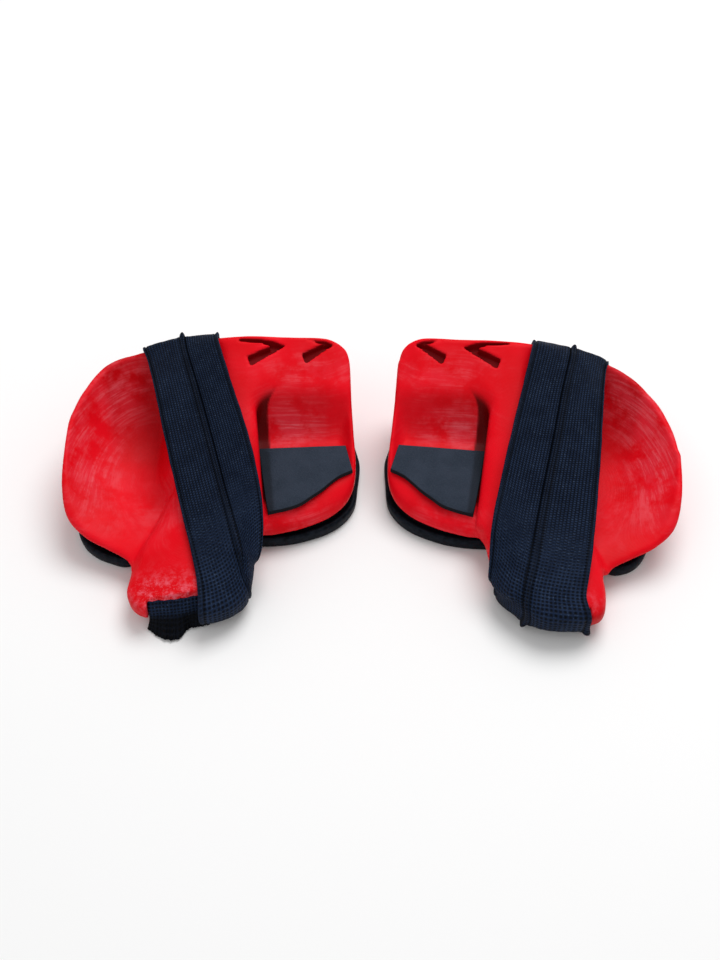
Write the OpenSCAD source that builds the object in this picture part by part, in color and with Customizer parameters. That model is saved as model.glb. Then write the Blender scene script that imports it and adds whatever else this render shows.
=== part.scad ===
/* [Layout] */
// Distance of each shield's own origin from the middle of the pair
unit_x = 82; // [80:0.5:100]
// How far the right shield stands nearer the front
unit_step_y = 3; // [0:0.5:10]
// Turn of the right shield on the ground, in degrees
unit_turn = 3; // [0:0.5:6]

/* [Shell] */
// Height of the shell's flat underside above the ground
base_z = 10; // [9:0.5:11]
// Height of the far wall
wall_z = 61.5; // [60:0.5:64]
// Height of the ridge where it meets the far wall
ridge_z = 58.5; // [56:0.5:59]
// Height of the spout at its tip
spout_z = 21; // [19:0.5:23]
// Height of the spout's underside
spout_base_z = 5; // [4.5:0.5:6]
// Height of the bowl's floor
bowl_z = 15; // [14:0.5:17]
// Height of the bay's floor at its front
bay_z = 21; // [19:0.5:23]
// Rise of the bay's floor from front to back
bay_slope = 0.12; // [0.08:0.01:0.16]

/* [Facings and pad] */
// Thickness of the foam pad
pad_t = 3; // [2:0.5:4]
// Height of the rubber facings' full-width lower step
facing_step = 6; // [4:0.5:7]
// Inset of the rubber facings above that step
facing_inset = 2; // [1:0.5:3]

/* [Strap] */
// Width of the elastic
strap_w = 46; // [44:1:50]
// Thickness of the elastic
strap_t = 1.6; // [1.2:0.1:2]
// Width of the raised seam along the middle of the elastic
seam_w = 3; // [2:0.5:4]
// Height of the raised seam above the elastic
seam_h = 0.8; // [0.5:0.1:1]
// Clearance between the elastic's free span and its fixed ends
span_gap = 4; // [3:0.1:6]

/* [Hidden] */

shell_red = [0.86, 0.04, 0.06];
rubber_black = [0.07, 0.07, 0.08];
foam_grey = [0.16, 0.17, 0.19];
strap_navy = [0.07, 0.09, 0.14];
hook_black = [0.03, 0.03, 0.03];

// Plan outline of a shield seen from above, bay to the right, spout to the front
outline = [[72, 53], [62, 61], [40, 62], [20, 62.5], [0, 63], [-18, 63], [-37, 61.5], [-53, 55.5], [-65, 42], [-71, 25],
           [-72.8, 6], [-72.6, -12], [-69, -27], [-60, -36], [-48, -42], [-38, -48], [-36, -56], [-36, -68], [-29, -77],
           [-10, -80], [7, -78], [19, -70], [22, -56], [23, -43], [26, -34], [34, -30], [48, -26], [62, -19],
           [71, -9], [75, 6], [75, 24], [74, 40]];
outline_steps = 2;      // spline pieces between two points of the outline
centre = [0, 10.1];   // brings the origin under the middle of the pair's bounding box
far_y = 60;             // far wall
tip_y = -76;            // spout's tip
bowl_c = [-27, 4];      // middle of the bowl
bowl_r = [44, 57];      // half sizes of the bowl
rim_edge = 0.97;        // where the top surface turns over the edge
wall_x = 26.5;          // the bay's wall under the ridge, halfway along it
wall_steps = 6;         // rings down the outside wall
patch_t = 1.2;          // thickness of the hook patches
far_v = 0.95;           // where the strap's end at the far wall starts on the top surface
spout_v = 0.9;          // where its end at the spout starts
span_rows = 18;         // pieces along the strap's free span

// ---- Curves ----
function sstep(a, b, x) = let (t = max(0, min(1, (x - a) / (b - a)))) t * t * (3 - 2 * t);
function mix(a, b, t) = a + (b - a) * t;
function smax(a, b, k) = let (h = max(k - abs(a - b), 0) / k) max(a, b) + h * h * k / 4;
function smin(a, b, k) = -smax(-a, -b, k);
function catmull(a, b, c, d, t) =
    ((-a + 3 * b - 3 * c + d) * t * t * t + (2 * a - 5 * b + 4 * c - d) * t * t + (c - a) * t + 2 * b) / 2;
// Point at position s, counted in points, on a closed curve through p
function on_loop(p, s) =
    let (n = len(p), i = floor(s), t = s - i)
    catmull(p[(i + n - 1) % n], p[i % n], p[(i + 1) % n], p[(i + 2) % n], t);
// The same on an open curve
function on_path(p, s) =
    let (n = len(p), i = min(floor(s), n - 2), t = s - i)
    catmull(p[max(i - 1, 0)], p[i], p[i + 1], p[min(i + 2, n - 1)], t);
function loop_points(p, steps) = [for (i = [0:len(p) * steps - 1]) on_loop(p, i / steps)];
// Points along an open curve, from gap after its start to gap before its end
function path_points(p, count, gap) =
    let (n = len(p) - 1, from = gap / norm(p[1] - p[0]), to = n - gap / norm(p[n] - p[n - 1]))
    [for (i = [0:count]) on_path(p, mix(from, to, i / count))];
function unit(v) = v / norm(v);

// ---- Top surface of a shield ----
function lengthwise(y) = (far_y - 2 - y) / (far_y - 2 - tip_y);
// The ridge runs from the far wall to the spout and sags a little
function crest_x(y) = mix(12, -8, lengthwise(y));
function crest_z(y) = let (t = lengthwise(y)) mix(ridge_z, spout_z, t) - 3 * sin(180 * max(0, min(1, t)));
function ridge(x, y) =
    let (d = x - crest_x(y), drop = mix(30, 9, sstep(-15, -50, y)))
    crest_z(y) - (d < 0 ? drop * pow(d / 34, 2) : 3 * pow(d / 20, 2));
// The bowl's rim is high at the back and low at the front
function rim_z(y) = 34 + 0.32 * y - 0.0015 * y * y;
function bowl(x, y) =
    let (across = max(x - bowl_c[0], 0) / 3 + min(x - bowl_c[0], 0),
         r = min(norm([across / bowl_r[0], (y - bowl_c[1]) / bowl_r[1]]), 1))
    bowl_z + (rim_z(y) - bowl_z) * pow(r, 2.6);
// The far wall falls gently to the front over the bay and steeply into the bowl
function far_wall(x, y) =
    let (top = x < 0 ? wall_z - 10 * pow(-x / 35, 1.3) : wall_z, slope = mix(2.2, 0.55, sstep(-15, 10, x)))
    top - slope * (far_y - y) - 3 * sstep(58, 72, x);
function bay(x, y) =
    let (depth = y - (0.0095 * pow(x - 26, 2) - 31),
         floor_z = bay_z + bay_slope * (y + 22) - 8 * pow(1 - max(0, min(1, depth / 11)), 2),
         back = smin(far_wall(x, y), far_wall(x, 36) - 1.56 * (36 - y), 3),
         side = bay_z + 1 + 0.68 * (y - 3) - 1.6 * (72 - x))
    smax(smax(floor_z, back, 6), min(side, far_wall(x, y) + 2), 5);
// The bay's wall under the ridge
function bay_wall_x(y) = wall_x - 0.1 * y;
function top_z(x, y) =
    let (high = smax(smax(bowl(x, y), ridge(x, y), 6), far_wall(x, y), 4))
    mix(high, bay(x, y), sstep(-1.5, 1.5, x - bay_wall_x(y)) * sstep(-33, -28, y));
function under_z(y) = mix(base_z, spout_base_z, sstep(-42, -56, y));

// ---- Whole skin of a shield ----
// A ray from the origin to an edge point crosses the bay's wall at this part of its length
function wall_crossing(edge) =
    let (c = wall_x / max(edge[0] + 0.1 * edge[1], 1)) c < 0.92 && edge[1] > -34 ? c : 0.5;
// Part of the ray at v, with two rings of points held close on either side of the bay's wall
function ray_part(edge, v) =
    let (c = wall_crossing(edge), half = 1.7 / norm(edge))
    v < 0.45 ? (c - half) * v / 0.45 :
    v < 0.55 ? mix(c - half, c + half, (v - 0.45) / 0.1) : mix(c + half, 1, (v - 0.55) / 0.45);
// s runs round the outline; v is 0 to 1 over the top, 1 to 2 down the outside and 2 to 3 under it
function skin(s, v) =
    let (edge = on_loop(outline, s),
         wide = max(sstep(-30, 10, edge[0]), sstep(-50, -65, edge[1])),
         turn = mix(0.5, 0.82, wide),
         power = 2 / mix(2.1, 4, wide),
         rim = edge * rim_edge,
         rim_top = top_z(rim[0], rim[1]),
         low = under_z(edge[1] * turn))
    v <= 1 ? let (p = edge * ray_part(edge, v) * rim_edge) [p[0], p[1], top_z(p[0], p[1])] :
    v <= 2 ? let (a = 90 * (v - 1), u = turn + (1 - turn) * pow(cos(a), power), p = edge * u)
             [p[0], p[1], low + (rim_top - 1.5 - low) * (1 - pow(sin(a), power))] :
    let (u = turn * (3 - v), p = edge * u) [p[0], p[1], mix(under_z(p[1]), low, sstep(0.7, 1, 3 - v))];
// Outward direction of the skin
function skin_normal(s, v) =
    unit(cross(skin(s + 0.2, v) - skin(s - 0.2, v), skin(s, v - 0.03) - skin(s, v + 0.03)));

// ---- Solids from rings ----
// Closed solid through rings of points, with a middle point at each end
module ring_solid(first, rings, last) {
    n = len(rings[0]);
    m = len(rings);
    polyhedron(
        points = concat([first], [for (ring = rings) each ring], [last]),
        faces = concat(
            [for (i = [0:n - 1]) [0, 1 + (i + 1) % n, 1 + i]],
            [for (j = [0:m - 2], i = [0:n - 1]) each
                let (a = 1 + j * n + i, b = 1 + j * n + (i + 1) % n) [[a, b, a + n], [b, b + n, a + n]]],
            [for (i = [0:n - 1]) [1 + m * n, 1 + (m - 1) * n + i, 1 + (m - 1) * n + (i + 1) % n]]));
}
// Closed sheet between two grids of points with the same rows and columns
module sheet_solid(top, bottom) {
    rows = len(top);
    cols = len(top[0]);
    n = rows * cols;
    edge = concat([for (j = [0:cols - 1]) j], [for (i = [1:rows - 1]) i * cols + cols - 1],
                  [for (j = [cols - 2:-1:0]) (rows - 1) * cols + j], [for (i = [rows - 2:-1:1]) i * cols]);
    polyhedron(
        points = concat([for (row = top) each row], [for (row = bottom) each row]),
        faces = concat(
            [for (i = [0:rows - 2], j = [0:cols - 2]) each
                let (a = i * cols + j, b = a + cols)
                [[a, a + 1, b], [a + 1, b + 1, b], [n + a, n + b, n + a + 1], [n + a + 1, n + b, n + b + 1]]],
            [for (k = [0:len(edge) - 1]) each
                let (a = edge[k], b = edge[(k + 1) % len(edge)]) [[a, n + a, b], [b, n + a, n + b]]]));
}
// Sheet that follows the skin, from low to high above it, and stands off by flare more at its last row
module on_skin(s_from, s_to, v_from, v_to, low, high, cols = 8, rows = 10, flare = 0) {
    s = [for (j = [0:cols]) mix(s_from, s_to, j / cols)];
    part = [for (i = [0:rows]) i / rows];
    function lifted(a, t, h) = let (v = mix(v_from, v_to, t)) skin(a, v) + (h + flare * t * t) * skin_normal(a, v);
    sheet_solid([for (t = part) [for (a = s) lifted(a, t, high)]], [for (t = part) [for (a = s) lifted(a, t, low)]]);
}

// ---- Pieces of one shield, in its own frame ----
module shell() {
    around = [for (i = [0:len(outline) * outline_steps - 1]) i / outline_steps];
    tops = [0.09, 0.18, 0.27, 0.36, 0.45, 0.55, 0.62, 0.7, 0.78, 0.86, 0.94];
    walls = concat([1, 1.001], [for (i = [1:wall_steps]) 1 + i / wall_steps]);
    unders = [2.35, 2.7];
    color(shell_red)
        ring_solid(skin(0, 0), [for (v = concat(tops, walls, unders)) [for (s = around) skin(s, v)]], skin(0, 3));
}
module facing(points) {
    color(rubber_black) {
        linear_extrude(facing_step) polygon(loop_points(points, 3));
        translate([0, 0, facing_step - 0.5])
            linear_extrude(base_z - facing_step + 0.5) offset(delta = -facing_inset) polygon(loop_points(points, 3));
    }
}
module bay_facing() {
    facing([[4, -22], [12, -28], [26, -29.5], [40, -28.5], [51, -25.5], [61, -21], [69, -14.5], [74, -6],
            [75.5, 6], [76.5, 18], [75, 27], [71, 38], [60, 45], [30, 47], [8, 38], [0, 20], [0, -8]]);
}
module bowl_facing() {
    facing([[-40, -42], [-49, -40], [-57, -36], [-63, -30], [-66, -22], [-64, -8], [-54, 6], [-40, 8],
            [-30, -2], [-29, -20], [-33, -36]]);
}
module foam_pad() {
    lean = atan(bay_slope);
    color(foam_grey)
        translate([0, -22, bay_z])
            rotate([lean, 0, 0])
                linear_extrude(pad_t)
                    polygon([[27.5, 38], [68.5, 40], [72.5, 25], [66, 18.5], [57.5, 12], [47.5, 4], [39, -2],
                             [34, -4], [31.5, -3]]);
}
// The hook patches lie between the shell and the fixed ends of the strap
module hook_patch_far(end) {
    color(hook_black) on_skin(end[2] + 0.25, end[0] - 0.25, 1.12, 1.5, 0, patch_t, 6, 5);
}
module hook_patch_under(end) {
    color(hook_black) on_skin(end[0] + 0.25, end[2] - 0.25, 2.02, 2.22, 0, patch_t, 6, 4);
}
module strap_far_end(end) {
    color(strap_navy) on_skin(end[2], end[0], far_v, 1.6, patch_t, patch_t + strap_t, 8, 20);
}
module strap_spout_end(end) {
    color(strap_navy) on_skin(end[0], end[2], spout_v, 2.25, patch_t, patch_t + strap_t, 8, 16);
}
module strap_tail(tail) {
    color(strap_navy) on_skin(tail[0], tail[1], tail[2], tail[3], 0.2, 0.2 + strap_t, 6, 8, tail[4]);
}
function on_patch(s, v) = skin(s, v) + patch_t * skin_normal(s, v);
// Line along the free span; c is 0 on the outer edge, 1 on the seam and 2 on the inner edge
function span_line(strap, c) =
    let (k = c < 1 ? 0 : 1, t = c - k, far = strap[0], way = strap[1], spout = strap[2])
    path_points(concat([on_patch(mix(far[k], far[k + 1], t), far_v)],
                       [for (i = [0:len(way[0]) - 1]) mix(way[k][i], way[k + 1][i], t)],
                       [on_patch(mix(spout[k], spout[k + 1], t), spout_v)]), span_rows, span_gap);
// Part of the free span between two lines, from low to high above its underside
module span_part(strap, from, to, cols, low, high) {
    across = [for (j = [0:cols]) mix(from, to, j / cols)];
    lines = [for (c = across) span_line(strap, c)];
    outward = [for (c = across) span_line(strap, max(c - 0.15, 0))];
    inward = [for (c = across) span_line(strap, min(c + 0.15, 2))];
    up = [for (j = [0:cols]) [for (i = [0:span_rows])
        unit(cross(lines[j][min(i + 1, span_rows)] - lines[j][max(i - 1, 0)], inward[j][i] - outward[j][i]))]];
    color(strap_navy)
        sheet_solid([for (i = [0:span_rows]) [for (j = [0:cols]) lines[j][i] + high * up[j][i]]],
                    [for (i = [0:span_rows]) [for (j = [0:cols]) lines[j][i] + low * up[j][i]]]);
}
module strap_outer_band(strap) { span_part(strap, 0, 1, 4, 0, strap_t); }
module strap_inner_band(strap) { span_part(strap, 1, 2, 4, 0, strap_t); }
module strap_seam(strap) {
    half = seam_w / strap_w;
    span_part(strap, 1 - half, 1 + half, 2, strap_t, strap_t + seam_h);
}

// ---- The two shields ----
// Each strap: where its outer edge, seam and inner edge are fixed at the far wall, as positions round the
// outline, the points that they pass through, and where they are fixed at the spout
left_strap = [
    [5.95, 4.85, 3.8],
    [[[-27.5, 32, 47.5], [-21.5, 8, 42], [-14.5, -18, 36.3], [-9, -38, 31.5], [-4.5, -54, 28]],
     [[-6.8, 32, 53.5], [1, 6, 46.8], [8.5, -20, 39.8], [14, -38, 34], [18, -52, 28.5]],
     [[12.5, 30, 56], [21, 5, 49], [28, -20, 40.5], [31.5, -37, 30.5], [32, -48, 24]]],
    [19.5, 21.4, 22.2]];
right_strap = [
    [6.1, 5.1, 3.85],
    [[[-33.5, 30, 47], [-31.8, 5, 41.5], [-29.5, -20, 36], [-27.5, -40, 31], [-25.5, -56, 26.5]],
     [[-13.5, 32, 53], [-9, 6, 46.4], [-4, -20, 39.4], [-0.5, -40, 33.5], [2, -55, 28.5]],
     [[8.5, 30, 56], [14, 5, 49], [19, -20, 41], [22.5, -40, 34], [24, -54, 26]]],
    [18.2, 19.9, 21.5]];
// Each loose tail: from and to round the outline, from and to down the skin, and how far its end stands off
left_tail = [18.1, 19.4, 1.05, 1.85, 4];
right_tail = [18.4, 21.3, 2.28, 2.42, 0];

module piece(name, strap, tail) {
    if (name == "shell") shell();
    if (name == "bay_facing") bay_facing();
    if (name == "bowl_facing") bowl_facing();
    if (name == "foam_pad") foam_pad();
    if (name == "hook_patch_far") hook_patch_far(strap[0]);
    if (name == "hook_patch_under") hook_patch_under(strap[2]);
    if (name == "strap_far_end") strap_far_end(strap[0]);
    if (name == "strap_spout_end") strap_spout_end(strap[2]);
    if (name == "strap_tail") strap_tail(tail);
    if (name == "strap_outer_band") strap_outer_band(strap);
    if (name == "strap_inner_band") strap_inner_band(strap);
    if (name == "strap_seam") strap_seam(strap);
}
module left(name) { translate([centre[0] - unit_x, centre[1], 0]) piece(name, left_strap, left_tail); }
module right(name) {
    translate([centre[0] + unit_x, centre[1] - unit_step_y, 0])
        mirror([1, 0, 0])
            rotate([0, 0, unit_turn]) piece(name, right_strap, right_tail);
}

left("shell");  // left_shell
left("bay_facing");  // left_bay_facing
left("bowl_facing");  // left_bowl_facing
left("foam_pad");  // left_foam_pad
left("hook_patch_far");  // left_hook_patch_far
left("hook_patch_under");  // left_hook_patch_under
left("strap_far_end");  // left_strap_far_end
left("strap_outer_band");  // left_strap_outer_band
left("strap_inner_band");  // left_strap_inner_band
left("strap_seam");  // left_strap_seam
left("strap_spout_end");  // left_strap_spout_end
left("strap_tail");  // left_strap_tail
right("shell");  // right_shell
right("bay_facing");  // right_bay_facing
right("bowl_facing");  // right_bowl_facing
right("foam_pad");  // right_foam_pad
right("hook_patch_far");  // right_hook_patch_far
right("hook_patch_under");  // right_hook_patch_under
right("strap_far_end");  // right_strap_far_end
right("strap_outer_band");  // right_strap_outer_band
right("strap_inner_band");  // right_strap_inner_band
right("strap_seam");  // right_strap_seam
right("strap_spout_end");  // right_strap_spout_end
right("strap_tail");  // right_strap_tail
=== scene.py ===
import math

import bpy
import numpy as np
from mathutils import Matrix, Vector


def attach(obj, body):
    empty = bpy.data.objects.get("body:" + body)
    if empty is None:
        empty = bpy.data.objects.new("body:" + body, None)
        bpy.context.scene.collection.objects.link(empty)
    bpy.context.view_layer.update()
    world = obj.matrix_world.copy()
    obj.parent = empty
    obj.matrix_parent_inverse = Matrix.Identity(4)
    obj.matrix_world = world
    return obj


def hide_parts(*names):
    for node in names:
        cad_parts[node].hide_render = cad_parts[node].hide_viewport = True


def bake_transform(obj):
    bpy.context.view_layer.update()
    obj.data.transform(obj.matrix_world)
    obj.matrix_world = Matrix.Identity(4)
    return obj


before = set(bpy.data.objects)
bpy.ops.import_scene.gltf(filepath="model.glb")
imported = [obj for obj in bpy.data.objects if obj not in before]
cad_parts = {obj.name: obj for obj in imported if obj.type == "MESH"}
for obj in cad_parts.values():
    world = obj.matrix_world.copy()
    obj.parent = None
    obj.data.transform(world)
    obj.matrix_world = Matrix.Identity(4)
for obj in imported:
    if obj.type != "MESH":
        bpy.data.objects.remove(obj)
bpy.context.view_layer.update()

# A mirrored pair of moulded hand shields. Each shield is worked out in its own frame, in mm, as the left one, and
# placed() puts it in the shared frame. A shell's surface is the zero of a field of distances that follows the CAD's
# own formulas, and each strap is a swept sheet that clears that field.

MM = 0.001
SIDES = ("left", "right")
UNIT_X, CENTRE_Y = 82.0, 10.1              # a shield's origin: how far out, and how far back
STEP_Y, TURN = 3.0, math.radians(3)        # the right shield stands a little nearer, and turned
WIDTH, THICK, PATCH = 46.0, 1.6, 1.2       # the elastic's width and thickness, and the hook patch under it
RIM_SHARE = 0.97                           # the rim's top, as a share of the way out to the outline

# ---------------------------------------------------------------- curves


def sstep(a, b, x):
    t = np.clip((x - a) / (b - a), 0, 1)
    return t * t * (3 - 2 * t)


def mix(a, b, t):
    return a + (b - a) * t


def smax(a, b, k):
    h = np.maximum(k - np.abs(a - b), 0) / k
    return np.maximum(a, b) + h * h * k / 4


def smin(a, b, k):
    return -smax(-a, -b, k)


def catmull(a, b, c, d, t):
    return ((-a + 3 * b - 3 * c + d) * t ** 3 + (2 * a - 5 * b + 4 * c - d) * t ** 2 + (c - a) * t + 2 * b) / 2


OUTLINE = np.array([
    [72, 53], [62, 61], [40, 62], [20, 62.5], [0, 63], [-18, 63], [-37, 61.5], [-53, 55.5], [-65, 42], [-71, 25],
    [-72.8, 6], [-72.6, -12], [-69, -27], [-60, -36], [-48, -42], [-38, -48], [-36, -56], [-36, -68], [-29, -77],
    [-10, -80], [7, -78], [19, -70], [22, -56], [23, -43], [26, -34], [34, -30], [48, -26], [62, -19],
    [71, -9], [75, 6], [75, 24], [74, 40]], float)


def on_loop(p, s):
    s = np.asarray(s, float)
    n, i = len(p), np.floor(s).astype(int)
    t = (s - i)[..., None]
    return catmull(p[(i - 1) % n], p[i % n], p[(i + 1) % n], p[(i + 2) % n], t)


def loop_points(p, steps):
    return on_loop(np.asarray(p, float), np.arange(len(p) * steps) / steps)


def lengthwise(y):
    """0 at the ridge's far end, 1 at the spout's."""
    return (58 - y) / 134


def crest_x(y):
    return mix(12.0, -8.0, lengthwise(y))


# y, and the x of the valley between the bowl and the ridge
VALLEY = [[-60, -40], [-51, -37.5], [-42, -35], [-30, -31], [-19, -25.5], [-12, -19.5], [0, -10]]


def at(table, x, **outside):
    """The second column of a table, between its rows."""
    return np.interp(x, *np.array(table).T, **outside)


def ridge(x, y):
    t = lengthwise(y)
    crest = mix(58.5, 21.0, t) - 3 * np.sin(np.pi * np.clip(t, 0, 1))
    d, drop = x - crest_x(y), mix(30.0, 9.0, sstep(-15, -50, y))
    left_of = at(VALLEY, y) - x
    crest = crest - 5.0 * sstep(-9, 1, left_of) * sstep(-66, -54, y) * sstep(4, -10, y)
    return crest - np.where(d < 0, drop * (d / 34) ** 2, 3 * (d / 20) ** 2)


def rim_z(y):
    return 34 + 0.32 * y - 0.0015 * y * y


def bowl(x, y):
    across = np.maximum(x + 27, 0) / 3 + np.minimum(x + 27, 0)
    r = np.hypot(across / 44, (y - 4) / 57)
    r = np.minimum(r, 1) + 0.3 * np.maximum(r - 1, 0)
    return 15 + (rim_z(y) - 15) * r ** 2.6


def far_wall(x, y):
    top = 61.5 - 10 * (np.maximum(-x, 0) / 35) ** 1.3
    return top - mix(2.2, 0.55, sstep(-15, 10, x)) * (60 - y) - 3 * sstep(58, 72, x)


def bay_floor(x, y):
    depth = y - (0.0095 * (x - 26) ** 2 - 31)
    return 21 + 0.12 * (y + 22) - 8 * (1 - np.clip(depth / 11, 0, 1)) ** 2


def bay(x, y):
    back = smin(far_wall(x, y), far_wall(x, 36.0) - 1.56 * (36 - y), 3)
    side = 22 + 0.68 * (y - 3) - 1.6 * (72 - x)
    return smax(smax(bay_floor(x, y), back, 6), np.minimum(side, far_wall(x, y) + 2), 5)


def high(x, y):
    return smax(smax(bowl(x, y), ridge(x, y), 2.2), far_wall(x, y), 4)


def bay_wall_x(y):
    return 26.5 - 0.1 * y


def top_z(x, y):
    return mix(high(x, y), bay(x, y), sstep(-1.5, 1.5, x - bay_wall_x(y)) * sstep(-33, -28, y))


def under_z(y):
    return mix(10.0, 5.0, sstep(-42, -56, y))


def turn_of(edge):
    wide = np.maximum(sstep(-30, 10, edge[..., 0]), sstep(-50, -65, edge[..., 1]))
    return mix(0.5, 0.82, wide), mix(2.1, 4.0, wide)


def skin(s, v):
    """The CAD shell's own skin: s runs round the outline, v over the top (0 to 1), down the side and under it."""
    s, v = np.broadcast_arrays(np.asarray(s, float), np.asarray(v, float))
    edge = on_loop(OUTLINE, s)
    turn, power = turn_of(edge)
    rim = edge * RIM_SHARE
    rim_top = top_z(rim[..., 0], rim[..., 1])
    low = under_z(edge[..., 1] * turn)
    a = np.radians(90 * np.clip(v - 1, 0, 1))
    c, n = np.cos(a) ** (2 / power), np.sin(a) ** (2 / power)
    p_top = edge * (v * RIM_SHARE)[..., None]
    p_out = edge * (turn + (1 - turn) * c)[..., None]
    p_low = edge * (turn * (3 - v))[..., None]
    z_out = low + (rim_top - 1.5 - low) * (1 - n)
    z_low = mix(under_z(p_low[..., 1]), low, sstep(0.7, 1, 3 - v))
    out = np.where((v <= 1)[..., None], p_top, np.where((v <= 2)[..., None], p_out, p_low))
    z = np.where(v <= 1, top_z(p_top[..., 0], p_top[..., 1]), np.where(v <= 2, z_out, z_low))
    return np.concatenate([out, z[..., None]], -1)


def unit(v):
    return v / np.maximum(np.linalg.norm(v, axis=-1, keepdims=True), 1e-12)


# ---------------------------------------------------------------- the shell as a field of distances

STEP = 0.9   # the grid's pitch
GRID_LOW = np.array([-77.0, -84.0, 1.0])
GRID_HIGH = np.array([80.0, 67.0, 66.5])
FAR, AWAY = 6, -9.0   # the field's limit either way, and a value that cuts nothing
CHEVRON_LOW = 36      # the chevrons are cut only above this height
CHEVRONS = [
    [[37.7, 56.3], [20.5, 45.7], [18.7, 50.2], [31.2, 56.0], [14.6, 57.6], [13.7, 58.9], [31.9, 58.1]],
    [[62.7, 57.1], [48.4, 48.1], [46.4, 52.7], [57.4, 57.3], [49.0, 59.0], [49.0, 59.6], [57.6, 58.6]],
]
# the bearing from the middle, in degrees, and how high the rim stands there: the two shields differ a little
RIM_TOPS = {
    "left": [[30, 66], [36.5, 56], [41.6, 57.2], [47.7, 58.3], [56.9, 59.2], [73, 58.7], [87, 56], [96, 55],
             [105, 53.6], [113, 51], [120, 48.2], [128, 47.6], [137, 46.7], [148, 42], [158, 41.2], [168, 44],
             [180, 60]],
    "right": [[30, 66], [36.9, 50], [38.8, 54.7], [41.5, 58.2], [47, 58.5], [60.6, 57.7], [79, 55.9], [90, 53.9],
              [100, 51.6], [110, 48.8], [117, 45.8], [123, 43.4], [131, 38.7], [142, 34.9], [155, 34], [170, 35.2],
              [182, 50]],
}
# y, and the x of the bay's outer edge
BAY_EDGE = [[-30, 76.5], [-8, 75.6], [8, 74.6], [20, 73.2], [35, 71.9], [60, 70.9]]
# x, and the y of the spout's cut lip
SLOT_LIP = [[-25.6, -73.6], [-20.3, -72.8], [-15.3, -72.6], [-8.5, -71.5], [-0.6, -69.7], [25, -63]]
# planes that slim the right spout: where they start in y, then x's share, y's share and the offset
SLIM = [(-44, 0.943, -0.333, -36.3), (-44, 0.646, -0.764, -59.5), (-50, -1, 0, -34.2)]


def polygon_distance(points, x, y):
    """Signed distance to a closed polygon, negative inside."""
    best = np.full(x.shape, 1e9)
    inside = np.zeros(x.shape, bool)
    for (ax, ay), (bx, by) in zip(points, np.roll(points, -1, 0)):
        ex, ey = bx - ax, by - ay
        t = np.clip(((x - ax) * ex + (y - ay) * ey) / (ex * ex + ey * ey), 0, 1)
        best = np.minimum(best, (x - ax - t * ex) ** 2 + (y - ay - t * ey) ** 2)
        if ay != by:
            inside ^= ((ay > y) != (by > y)) & (x < ex * (y - ay) / ey + ax)
    return np.where(inside, -1, 1) * np.sqrt(best)


def shell_field(side):
    """Distances to the shell as it is printed, and to the same shell without its slot and chevrons."""
    axes = [np.arange(a, b, STEP) for a, b in zip(GRID_LOW, GRID_HIGH)]
    x, y = np.meshgrid(axes[0], axes[1], indexing="ij")
    z = axes[2][None, None, :]

    def height(h):
        gx, gy = np.gradient(h, STEP)
        return (z - h[..., None]) / np.sqrt(1 + gx * gx + gy * gy)[..., None]

    # outside, a superellipse down each ray from the middle
    loop = loop_points(OUTLINE, 12)
    angle = np.arctan2(loop[:, 1], loop[:, 0])
    order = np.argsort(angle)
    turn, power = turn_of(loop)
    rim = loop * RIM_SHARE
    facts = np.stack([np.hypot(*loop.T), turn, power, top_z(rim[:, 0], rim[:, 1]) - 1.5,
                      under_z(loop[:, 1] * turn)])[:, order]
    here = np.arctan2(y, x)
    reach, turn, power, rim_top, low = [np.interp(here, angle[order], f, period=2 * np.pi) for f in facts]
    part = np.hypot(x, y) / reach
    q = np.clip((part - turn) / (1 - turn), 0, 2)
    down = np.clip((rim_top[..., None] - z) / (rim_top - low)[..., None], 0, 2)
    power = power[..., None]
    f = (q[..., None] ** power + down ** power) ** (1 / power) - 1
    slope = np.sqrt(sum(g * g for g in np.gradient(f, STEP)))
    outside = f / np.maximum(slope, 0.012)

    # inside it, the bowl and the ridge, with the bay cut out beside a wall that leans under the ridge
    wall = (x - bay_wall_x(y))[..., None]
    lip = high(x, y)[..., None]
    wall = wall + 4.5 * sstep(2, 22, lip - z) - 9 * (sstep(24, 42, y) ** 2)[..., None]
    cut = smin(height(bay(x, y)), wall / 1.05, mix(2.5, 9.0, sstep(8, 34, y))[..., None])
    f = smax(height(high(x, y)), cut, 5.0)
    f = smax(f, outside, 2.8)
    # the rim and the bay's outer edge are trimmed to what the photograph shows
    rim_most = at(RIM_TOPS[side], np.degrees(here) % 360, left=90, right=90)
    inward = np.maximum(1 - part, 0) * reach
    f = smax(f, 0.616 * (z - (rim_most + 1.28 * inward)[..., None]), 3.0)
    f = smax(f, (x - at(BAY_EDGE, y))[..., None], 3.0)
    if side == "right":
        for start, by_x, by_y, offset in SLIM:
            f = smax(f, np.where(y < start, by_x * x + by_y * y + offset, AWAY)[..., None], 4.0)
    plain = np.clip(f, -FAR, FAR)
    # the spout's front is cut back under a lip, where the strap's end comes out
    ragged = 0.35 * np.sin(x * 2.1) * np.sin(x * 0.9 + 1)
    cut_y = (at(SLOT_LIP, x) + ragged)[..., None] + 2.8 * sstep(0.5, 5, 18.5 - z)
    slot = np.minimum(cut_y - y[..., None], (x + 25.7)[..., None])
    f = smax(f, np.where(y[..., None] > -60, AWAY, slot), 0.8)
    # two chevrons sunk in the far wall
    depth = mix(3.5, 0.7, sstep(57.3, 59.0, y))[..., None]
    for points in CHEVRONS:
        shape = polygon_distance(np.array(points), x, y)[..., None]
        f = np.where(z > CHEVRON_LOW, np.maximum(f, np.minimum(-shape, plain + depth)), f)
    return np.clip(f, -FAR, FAR), plain


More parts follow.
